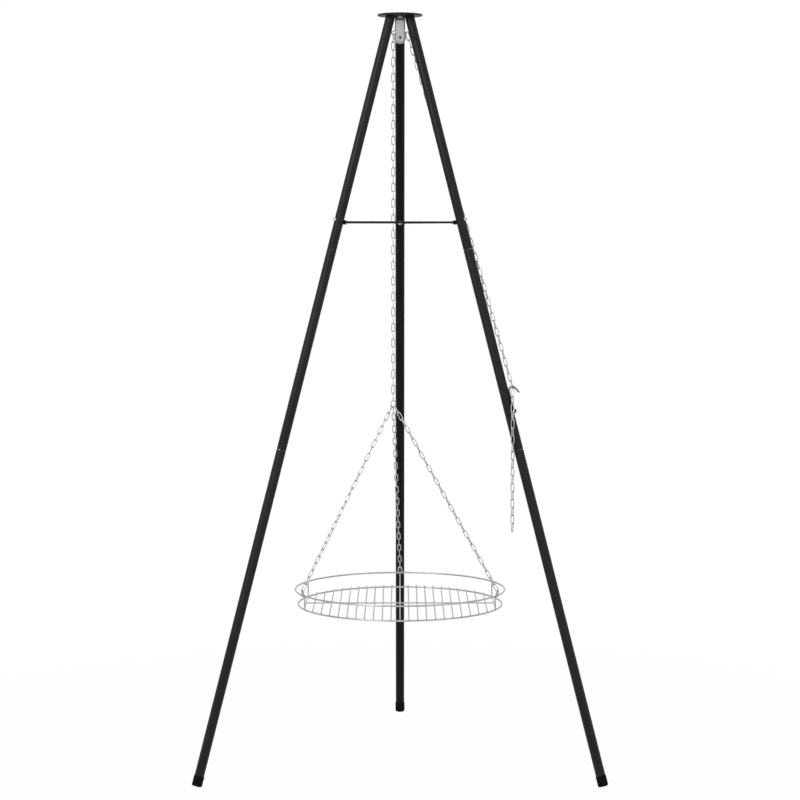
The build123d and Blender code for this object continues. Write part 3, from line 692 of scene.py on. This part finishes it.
# ---------------------------------------------------------------- places
def link_marks(node):
    """Middle, long direction and wide direction of each closed link of a CAD node."""
    mesh = bmesh.new()
    mesh.from_mesh(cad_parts[node].data)
    bmesh.ops.remove_doubles(mesh, verts=mesh.verts, dist=1e-6)
    waiting = set(mesh.faces)
    spots = []
    while waiting:
        group, front = [], [waiting.pop()]
        while front:
            face = front.pop()
            group.append(face)
            near = {other for side in face.edges for other in side.link_faces} & waiting
            waiting -= near
            front += near
        areas = numpy.array([face.calc_area() for face in group])
        middles = numpy.array([face.calc_center_median() for face in group])
        centre = (middles * areas[:, None]).sum(0) / areas.sum()
        spread = (middles - centre) * numpy.sqrt(areas)[:, None]
        directions = numpy.linalg.eigh(spread.T @ spread)[1]
        spots.append((Vector(centre), Vector(directions[:, 2]), Vector(directions[:, 1])))
    mesh.free()
    return sorted(spots, key=lambda spot: -spot[0].z)


def level(azimuth):
    """The level direction at an azimuth in degrees."""
    turn = math.radians(azimuth)
    return Vector((math.cos(turn), math.sin(turn), 0))


class Leg:
    """Directions and points of one leaning leg."""

    def __init__(self, name, sizes):
        lean = math.atan2(sizes.foot_radius, sizes.apex_height)
        self.name, self.lean_cos = name, math.cos(lean)
        self.outward = level(LEGS[name])
        self.side = UP.cross(self.outward)
        self.down = self.outward * math.sin(lean) - UP * self.lean_cos
        self.normal = self.outward * self.lean_cos + UP * math.sin(lean)
        self.apex = Vector((0, AXIS_Y, sizes.apex_height))

    def along(self, height):
        """Distance down the leg from the apex to a height on its axis."""
        return (self.apex.z - height) / self.lean_cos

    def spot(self, height):
        return self.apex + self.down * self.along(height)


def cap_start(leg, settings):
    """Distance down the leg to the rim of its foot cap, whose inner side is its highest edge."""
    outer = settings.legs.tube / 2 + settings.caps.wall
    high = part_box(f"foot_cap_{leg.name}")[1]
    return leg.along(high.z - outer * leg.outward.dot(leg.down))


def half_size(node):
    """Half of a node's box along x, y and z."""
    low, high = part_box(node)
    return (high - low) / 2


def ring_size(node):
    """Radius to the wire's middle and height of a ring node."""
    half = half_size(node)
    return half.x - half.z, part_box(node)[0].z + half.z


# ---------------------------------------------------------------- operators
class BuildOperator:
    bl_options = {"REGISTER", "UNDO"}

    def execute(self, context):
        self.build(context.scene.tripod)
        return {"FINISHED"}


class TRIPOD_OT_legs(BuildOperator, Operator):
    """Build the leg tubes: three tubes and a head stub on each leg, joined by spigots"""

    bl_idname = "tripod.legs"
    bl_label = "Leg tubes"

    def build(self, settings):
        sizes, caps = settings.legs, settings.caps
        radius, rim, shoulder = sizes.tube / 2, sizes.rim, sizes.shoulder
        bore = radius - sizes.wall
        spigot = bore - sizes.play
        # how bare each tube's rim is, by part: wear and a painted highlight
        rim_wear_and_highlight = {"head_stub": 0.0, "leg_upper": 0.42, "leg_middle": 1.0, "leg_lower": 1.0}
        for name in LEGS:
            leg = Leg(name, sizes)
            stops = {"head_stub": PLATE_LOW.z, "leg_upper": sizes.stub_joint,
                     "leg_middle": sizes.upper_joint, "leg_lower": sizes.lower_joint}
            starts = [leg.along(height) for height in stops.values()]
            ends = starts[1:] + [cap_start(leg, settings) + caps.height - caps.base]
            for part, start, end in zip(stops, starts, ends):
                bare = rim_wear_and_highlight[part] * RIM_WEAR_AND_HIGHLIGHT[name]
                # the rim, bare metal that stands for wear and for a painted highlight, shows as a
                # bright line; then the coated side, the rounded shoulder
                outline = [
                    (bore, start, bare), (radius - rim, start, bare),
                    (radius - rim * 0.3, start + rim * 0.3, bare),
                    (radius, start + rim * 1.2, bare), (radius, start + rim * 2.2),
                    (radius, (start + end) / 2), (radius, end - shoulder),
                    (radius - shoulder * 0.1875, end - shoulder * 0.4375),
                    (radius - shoulder * 0.5625, end, 0.4),
                ]
                if part == "leg_lower":
                    outline.append((bore, end))
                else:
                    tip, inside = end + sizes.spigot, end - sizes.wall
                    outline += [(spigot, end, 0.6), (spigot, tip - sizes.taper, 1.0),
                                (spigot - EDGE, tip, 1.0), (spigot - sizes.wall, tip, 1.0),
                                (spigot - sizes.wall, inside), (bore, inside)]
                mesh = bmesh.new()
                loops = turn_piece(mesh, leg.apex, leg.down, outline, sizes.sides)
                if part == "head_stub":
                    # its top is cut level, flat against the plate
                    for vertex in (vertex for loop in loops[:5] for vertex in loop):
                        vertex.co += leg.down * ((vertex.co.z - PLATE_LOW.z) / leg.lean_cos)
                    bmesh.ops.remove_doubles(mesh, verts=mesh.verts, dist=1e-7)
                # the rear leg takes the duller coat, painted shade
                keep(mesh, f"tube_{part}_{name}", f"{part}_{name}", "black_powder_coat",
                     look="rear_shaded_coat" if name == "rear" else None)


class TRIPOD_OT_caps(BuildOperator, Operator):
    """Build the rubber foot caps with their grip grooves and worn flats"""

    bl_idname = "tripod.caps"
    bl_label = "Foot caps"

    def build(self, settings):
        legs, caps = settings.legs, settings.caps
        inner, outer, rounding = legs.tube / 2, legs.tube / 2 + caps.wall, caps.edge
        mouth, bottom = 0.0007, 0.0003      # half widths of a groove
        first, pitch = 0.30, 0.16           # grooves down the cap, as shares of its height
        for name in LEGS:
            leg = Leg(name, legs)
            start = cap_start(leg, settings)
            end = start + caps.height
            outline = [(inner, end - caps.base), (inner, start), (outer - EDGE, start),
                       (outer, start + EDGE)]
            for index in range(caps.grooves):
                middle = start + caps.height * (first + pitch * index)
                outline += [(outer, middle - mouth), (outer - caps.groove, middle - bottom),
                            (outer - caps.groove, middle + bottom), (outer, middle + mouth)]
            outline += arc(outer - rounding, end - rounding, rounding, rounding, 15.0, 7)
            outline += [(outer * 0.5, end), (0.0, end), (0.0, end - caps.base)]
            mesh = bmesh.new()
            turn_piece(mesh, leg.apex, leg.down, outline, legs.sides)
            for vertex in mesh.verts:
                vertex.co.z = max(vertex.co.z, 0.0)     # worn flat on the floor
            keep(mesh, f"rubber_cap_{name}", f"foot_cap_{name}", "black_rubber", sharp=50.0)


class TRIPOD_OT_head(BuildOperator, Operator):
    """Build the head plate, its domed bolt and the two nuts"""

    bl_idname = "tripod.head"
    bl_label = "Head plate and bolt"

    def build(self, settings):
        sizes = settings.head
        middle = Vector((0, AXIS_Y, 0))
        low, high = PLATE_LOW.z, PLATE_HIGH.z
        outer, edge = (PLATE_HIGH.x - PLATE_LOW.x) / 2, sizes.plate_edge
        bore = sizes.bolt / 2
        turned("plate_disc", "head_plate", middle, UP, [
            (bore, low), (outer - edge, low), (outer - edge * 0.3, low + edge * 0.3),
            (outer, low + edge), (outer, high - edge, 0.1),
            (outer - edge * 0.3, high - edge * 0.3, 0.3), (outer - edge, high),
            (outer - 0.004, high), (bore, high)], 96, slot="black_powder_coat")

        bolt_low, bolt_high = (corner.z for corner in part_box("head_bolt"))
        head, rise = sizes.bolt_head / 2, bolt_high - high
        dome = arc(0.0, high + rise * 0.2, head, rise * 0.8, 15.0, 6)
        turned("bolt_domed", "head_bolt", middle, UP, [
            (0.0, bolt_low), (bore - EDGE, bolt_low), (bore, bolt_low + EDGE),
            (bore, high), (head, high), *dome, (0.0, bolt_high)], 40)

        for node in ("head_nut", "yoke_nut"):
            under, top = (corner.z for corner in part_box(node))
            nut = bmesh.new()
            hex_nut(nut, Vector((0, AXIS_Y, under)), UP, sizes.nut, top - under, bore, FORWARD)
            keep(nut, f"{node}_pressed", node)


class TRIPOD_OT_pulley(BuildOperator, Operator):
    """Build the pulley wheel, its riveted axle and washers; the folded yoke keeps its CAD shape"""

    bl_idname = "tripod.pulley"
    bl_label = "Pulley"

    def build(self, settings):
        sizes = settings.head
        outer, half, _ = half_size("pulley_wheel")
        slot, floor, shaft = sizes.groove / 2, sizes.groove_radius, sizes.axle / 2
        lip, play, face = 0.0004, 0.00005, half - sizes.recess
        bore = shaft + play
        # one half of the wheel's outline, from the bore to the slot's floor
        side = [(bore, half), (outer * 0.35, half), (outer * 0.40, face), (outer * 0.84, face),
                (outer * 0.88, half), (outer - EDGE, half), (outer, half - EDGE),
                (outer, slot + lip), (outer - lip, slot), (floor, slot)]
        turned("wheel_turned", "pulley_wheel", AXLE, FORWARD, both_ways(side), 64, body="pulley",
               look="zinc_sheet")

        reach = half_size("pulley_axle").y
        head, cheek = sizes.rivet / 2, reach - sizes.rivet_height
        rivet = [(0.0, reach), (head * 0.45, reach - 0.0001), (head * 0.8, reach - 0.0005),
                 (head, cheek + 0.0003), (head, cheek), (shaft, cheek)]
        turned("axle_riveted", "pulley_axle", AXLE, FORWARD, both_ways(rivet), 32,
               slot="dark_steel")

        discs, gap = bmesh.new(), half + 0.0002
        outer, reach, _ = half_size("axle_washers")
        for way in (-1, 1):
            washer(discs, AXLE + FORWARD * (way * gap), FORWARD * way, outer, shaft, reach - gap)
        keep(discs, "axle_washers_turned", "axle_washers")
        paint("pulley_yoke", "zinc_sheet")


class TRIPOD_OT_chains(BuildOperator, Operator):
    """Build every chain from oval links, and the link that joins the three short chains"""

    bl_idname = "tripod.chains"
    bl_label = "Chains"

    def build(self, settings):
        sizes = settings.chains
        graph = link_graph()
        for index, (node, body) in enumerate(CHAINS.items()):
            mesh = graph.grow(marks(link_marks(node)), wire=sizes.wire, inner_width=sizes.width,
                              straight=sizes.straight, seam=sizes.seam, sway=sizes.sway,
                              seed=sizes.seed + index, steps=16, sides=6)
            piece = keep(mesh, f"links_{node}", node, body=body, sharp=180.0)
            if node == "main_chain":
                low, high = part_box(node)
                top = (low + high) / 2
                top.z = high.z
                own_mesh(piece)
        mesh = graph.grow(marks(link_marks("joining_link")), wire=sizes.joining_wire,
                          inner_width=sizes.joining_width, straight=sizes.joining_straight,
                          seam=sizes.seam, sway=0.0, seed=0, steps=40, sides=12)
        keep(mesh, "link_joining_chains", "joining_link", body="grate", sharp=180.0)


class TRIPOD_OT_grate(BuildOperator, Operator):
    """Build the grate: two rings, straight rods, posts, cross bar, hanger eyes and spot welds"""

    bl_idname = "tripod.grate"
    bl_label = "Grate"

    def build(self, settings):
        sizes = settings.grate
        upper_radius, upper = ring_size("upper_ring")
        lower_radius, lower = ring_size("lower_ring")
        touch = (sizes.ring_wire + sizes.rod_wire) / 2      # middle to middle, rod on ring
        half_rod, rod_height = sizes.rod_wire / 2, lower + touch
        side = (sizes.rods + 1) // 2
        self.bent = bent_wire_graph()
        welds = []

        hoop = hoop_graph()
        for node, radius, height in (("upper_ring", upper_radius, upper),
                                     ("lower_ring", lower_radius, lower)):
            mesh = hoop.grow(radius=radius, wire=sizes.ring_wire, seam=0.10, steps=240,
                             middle=(0.0, AXIS_Y, height))
            keep(mesh, f"hoop_{node}", node, body="grate", sharp=180.0)
        mesh = rod_graph().grow(ring_radius=lower_radius, spacing=sizes.pitch, rods=sizes.rods,
                                overhang=sizes.overhang, wire=sizes.rod_wire,
                                middle=(0.0, AXIS_Y, rod_height))
        keep(mesh, "rods_straight", "grate_rods", body="grate", sharp=50.0)

        top = upper + sizes.post_rise
        for name, index in (("left", -side), ("centre", 0), ("right", side)):
            x = index * sizes.pitch
            y = math.sqrt((upper_radius - touch)**2 - x**2)
            self.wire(sizes, f"rod_with_posts_{name}", f"support_rod_{name}", sizes.bend, 8,
                      [(x, AXIS_Y - y, top), (x, AXIS_Y - y, rod_height),
                       (x, AXIS_Y + y, rod_height), (x, AXIS_Y + y, top)])
            for way in (-1, 1):
                out = Vector((x, way * y, 0)).normalized()
                welds.append((Vector((x, AXIS_Y + way * y, upper)) + out * half_rod, UP, out))

        x, under = side * sizes.pitch + half_rod, rod_height - sizes.rod_wire
        self.wire(sizes, "bar_across", "cross_bar", 0.0, 1,
                  [(-x, AXIS_Y, under), (x, AXIS_Y, under)])
        contact = rod_height - half_rod
        for index in range(-side, side + 1):
            x = index * sizes.pitch
            y = math.sqrt(lower_radius**2 - x**2)
            for way in (-1, 1):
                tangent = Vector((way * y, -x, 0)).normalized()
                welds.append((Vector((x, AXIS_Y + way * y, contact)), tangent,
                              tangent.cross(UP)))
            welds.append((Vector((x, AXIS_Y, contact)), Vector((1, 0, 0)), FORWARD))

        bend = (sizes.eye_width + sizes.rod_wire) / 2
        base, top = UP * -sizes.eye_drop, UP * sizes.eye_rise
        for name, azimuth in EYES.items():
            out = level(azimuth)
            foot = Vector((0, AXIS_Y, upper)) + out * (upper_radius + touch)
            beside = UP.cross(out) * bend
            self.wire(sizes, f"eye_{name}", f"hanger_eye_{name}", bend * 0.999, 10,
                      [foot - beside + base, foot - beside + top, foot + beside + top,
                       foot + beside + base])
            for way in (-1, 1):
                welds.append((foot + beside * way - out * half_rod, UP, out))
        mesh = bead_graph().grow(marks(welds), size=sizes.weld, variation=0.18, seed=7)
        keep(mesh, "weld_beads", body="grate", sharp=180.0)

    def wire(self, sizes, name, node, bend, steps, path):
        """One piece of rod wire along a path, its corners bent to a radius."""
        mesh = self.bent.grow(route(path), wire=sizes.rod_wire, sides=14, bend_radius=bend,
                              bend_steps=steps)
        keep(mesh, name, node, body="grate", sharp=50.0)


class TRIPOD_OT_spreader(BuildOperator, Operator):
    """Build the three spreader bars with flattened ends, and their screws, washers and nuts"""

    bl_idname = "tripod.spreader"
    bl_label = "Spreader"

    def build(self, settings):
        sizes = settings.spreader
        legs = {name: Leg(name, settings.legs) for name in LEGS}
        tube, shaft = settings.legs.tube / 2, sizes.screw / 2
        for first, second, node in (("rear", "left", "spreader_bar_rear_left"),
                                    ("left", "right", "spreader_bar_front"),
                                    ("right", "rear", "spreader_bar_rear_right")):
            ends = []
            # on every screw the end of one bar lies on the end of another
            for name, layer, way in ((first, 0.5, 1), (second, 1.5, -1)):
                leg = legs[name]
                ends.append((leg.spot(sizes.height) - leg.normal * (tube + layer * sizes.tab),
                             leg.side * way, leg.normal))
            keep(self.bar(sizes, ends), f"{node}_pressed", node, "black_powder_coat", sharp=40.0)

        screws, nuts, washers, threads = bmesh.new(), bmesh.new(), bmesh.new(), []
        stack, hidden = 2 * sizes.tab, 0.0008       # bar ends; thread inside the nut
        reach = 2 * tube + stack + sizes.washer_height + sizes.nut_height + sizes.screw_tip
        for leg in legs.values():
            middle = leg.spot(sizes.height)
            button_screw(screws, middle + leg.normal * tube, leg.normal, shaft,
                         sizes.screw_head / 2, sizes.head_height, reach)
            seat = middle - leg.normal * (tube + stack)
            washer(washers, seat, -leg.normal, sizes.washer / 2, shaft, sizes.washer_height)
            seat -= leg.normal * sizes.washer_height
            hex_nut(nuts, seat, -leg.normal, sizes.nut, sizes.nut_height, shaft, leg.side)
            threads.append((seat - leg.normal * (sizes.nut_height - hidden), -leg.normal,
                            leg.side))
        keep(screws, "screws_domed", "spreader_screws")
        keep(washers, "washers_flat", "spreader_washers")
        keep(nuts, "nuts_pressed", "spreader_nuts")
        thread = thread_graph().grow(marks(threads), radius=shaft - 0.00015, run=0.0021, turns=2.6,
                                     crest=0.0005)
        keep(thread, "screw_threads", sharp=60.0)

    def bar(self, sizes, ends):
        """One bar: flat round-ended tab, pressed neck, round bar, neck and tab."""
        corners = [spot + run * sizes.tab_length for spot, run, _ in ends]
        straight = (corners[1] - corners[0]).normalized()
        first, second = (self.tab(sizes, end, corner, onward)
                         for end, corner, onward in zip(ends, corners, (straight, -straight)))
        second = [(place, -heading, *rest) for place, heading, *rest in reversed(second)]
        mesh = bmesh.new()
        bare_layer(mesh)
        loops = [self.section(mesh, *station) for station in first + second]
        for loop, following in zip(loops, loops[1:]):
            bridge(mesh, loop, following)
        mesh.faces.new(loops[0])
        mesh.faces.new(loops[-1])
        return mesh

    def tab(self, sizes, end, corner, onward):
        """Stations along a tab and its neck: place, heading, normal, half sizes and roundness."""
        spot, run, normal = end
        half, thin, round_bar = sizes.tab_width / 2, sizes.tab / 2, sizes.bar / 2
        round_end, flat_part = map(math.radians, (88, 70, 50, 30, 12)), (0.0, 0.35, 0.64)
        stations = [(spot - run * half * math.sin(turn), run, normal, half * math.cos(turn), thin,
                     0.0) for turn in round_end]
        stations += [(spot + run * sizes.tab_length * share, run, normal, half, thin, 0.0)
                     for share in flat_part]
        before, after = corner - run * sizes.bar, corner + onward * sizes.bar
        for share in (step / 7 for step in range(1, 8)):
            rest = 1 - share
            blend = share * share * (3 - 2 * share)
            place = before * rest**2 + corner * 2 * share * rest + after * share**2
            stations.append((place, (run * rest + onward * share).normalized(), normal,
                             half + (round_bar - half) * blend, thin + (round_bar - thin) * blend,
                             blend))
        return stations

    def section(self, mesh, place, heading, normal, wide, thick, blend):
        """A loop across the bar, from a rounded rectangle (0) to a circle (1)."""
        up = (normal - heading * normal.dot(heading)).normalized()
        across = heading.cross(up)
        power = 0.35 + 0.65 * blend
        loop = []
        for turn in (2 * math.pi * (index + 0.5) / 16 for index in range(16)):
            x, y = (math.copysign(abs(part)**power, part)
                    for part in (math.cos(turn), math.sin(turn)))
            loop.append(mesh.verts.new(place + across * wide * x + up * thick * y))
        return loop


class TRIPOD_OT_hook(BuildOperator, Operator):
    """Finish the chain hook and its screw"""

    bl_idname = "tripod.hook"
    bl_label = "Chain hook"

    def build(self, settings):
        paint("chain_hook", "dark_steel")
        paint("hook_screw", "dark_steel")


class TRIPOD_OT_stage(BuildOperator, Operator):
    """Build the pale floor, the white surroundings, the lamps and the camera"""

    bl_idname = "tripod.stage"
    bl_label = "Stage"

    def build(self, settings):
        sizes = settings.stage
        scene = bpy.context.scene
        scene.view_settings.view_transform = "Standard"
        self.camera(scene, sizes)
        self.floor(sizes)
        self.surroundings(scene, sizes)
        middle = Vector((0, AXIS_Y, 0.9))
        self.lamp("Key lamp", Vector((-2.6, AXIS_Y - 3.6, 3.4)), middle, 2.2, sizes.key)
        self.lamp("Fill lamp", Vector((3.2, AXIS_Y - 3.2, 1.8)), middle, 2.5, sizes.fill)

    def camera(self, scene, sizes):
        data = bpy.data.cameras.new("Camera")
        data.lens = sizes.lens
        data.sensor_width = 36.0
        scene.camera = show("Camera", data)
        scene.camera.location = (0.0, AXIS_Y - sizes.distance, sizes.height)
        scene.camera.rotation_euler = (math.pi / 2 - sizes.tilt, 0.0, 0.0)

    def floor(self, sizes):
        mesh = bmesh.new()
        bmesh.ops.create_circle(mesh, cap_ends=True, segments=96, radius=sizes.floor)
        data = bpy.data.meshes.new("Floor")
        mesh.to_mesh(data)
        mesh.free()
        material = bpy.data.materials.new("Pale floor")
        material.use_nodes = True
        tree = Tree(material.node_tree)
        tree.tree.nodes.remove(tree.tree.nodes["Principled BSDF"])
        matt = tree.add("ShaderNodeBsdfDiffuse", Color=(0.82, 0.82, 0.82, 1.0))
        glow = tree.add("ShaderNodeEmission", Strength=1.0)
        place = tree.add("ShaderNodeTexCoord", output="Object")
        far = tree.add("ShaderNodeVectorMath", place, output="Value", operation="LENGTH")
        near, wide, dimmest = 0.5, 1.8, 0.97
        fade = tree.remap(far, near, wide, dimmest, 1.0)
        tree.blend(tree.math("MULTIPLY", fade, tree.white_rays()), matt, glow, "Material Output")
        data.materials.append(material)
        show("Floor", data)

    def surroundings(self, scene, sizes):
        world = bpy.data.worlds.new("Studio")
        world.use_nodes = True
        scene.world = world
        tree = Tree(world.node_tree)
        white = (1.0, 1.0, 1.0, 1.0)
        soft = tree.add("ShaderNodeBackground", Color=white, Strength=sizes.ambient)
        seen = tree.add("ShaderNodeBackground", Color=white, Strength=1.0)
        tree.tree.nodes.remove(tree.tree.nodes["Background"])
        tree.blend(tree.white_rays(), soft, seen, "World Output")

    def lamp(self, name, place, target, size, power):
        data = bpy.data.lights.new(name, "AREA")
        data.shape, data.size, data.energy = "DISK", size, power
        lamp = show(name, data)
        lamp.location = place
        lamp.rotation_mode = "QUATERNION"
        lamp.rotation_quaternion = (target - place).to_track_quat("-Z", "Y")


# ---------------------------------------------------------------- panel
OPERATORS = (TRIPOD_OT_legs, TRIPOD_OT_caps, TRIPOD_OT_head, TRIPOD_OT_pulley, TRIPOD_OT_chains,
             TRIPOD_OT_grate, TRIPOD_OT_spreader, TRIPOD_OT_hook, TRIPOD_OT_stage)


class TRIPOD_PT_pieces(Panel):
    """Lists the tripod's pieces and sizes"""

    bl_idname = "TRIPOD_PT_pieces"
    bl_label = "Campfire tripod"
    bl_space_type = "VIEW_3D"
    bl_region_type = "UI"
    bl_category = "Tripod"

    def draw(self, context):
        layout = self.layout
        for operator in OPERATORS:
            layout.operator(operator.bl_idname, text=operator.bl_label)
        settings = context.scene.tripod
        for group_name in settings.__annotations__:
            group = getattr(settings, group_name)
            box = layout.box()
            box.label(text=group_name.capitalize())
            for name in group.__annotations__:
                box.prop(group, name, text=name.replace("_", " ").capitalize())


CLASSES = (LegSettings, CapSettings, HeadSettings, ChainSettings, GrateSettings, SpreaderSettings,
           LookSettings, StageSettings, TripodSettings, *OPERATORS, TRIPOD_PT_pieces)


def register():
    for cls in CLASSES:
        bpy.utils.register_class(cls)
    bpy.types.Scene.tripod = PointerProperty(type=TripodSettings)


def unregister():
    del bpy.types.Scene.tripod
    for cls in reversed(CLASSES):
        bpy.utils.unregister_class(cls)


def main():
    register()
    for operator in OPERATORS:
        getattr(bpy.ops.tripod, operator.bl_idname.removeprefix("tripod."))()


if __name__ == "__main__":
    main()
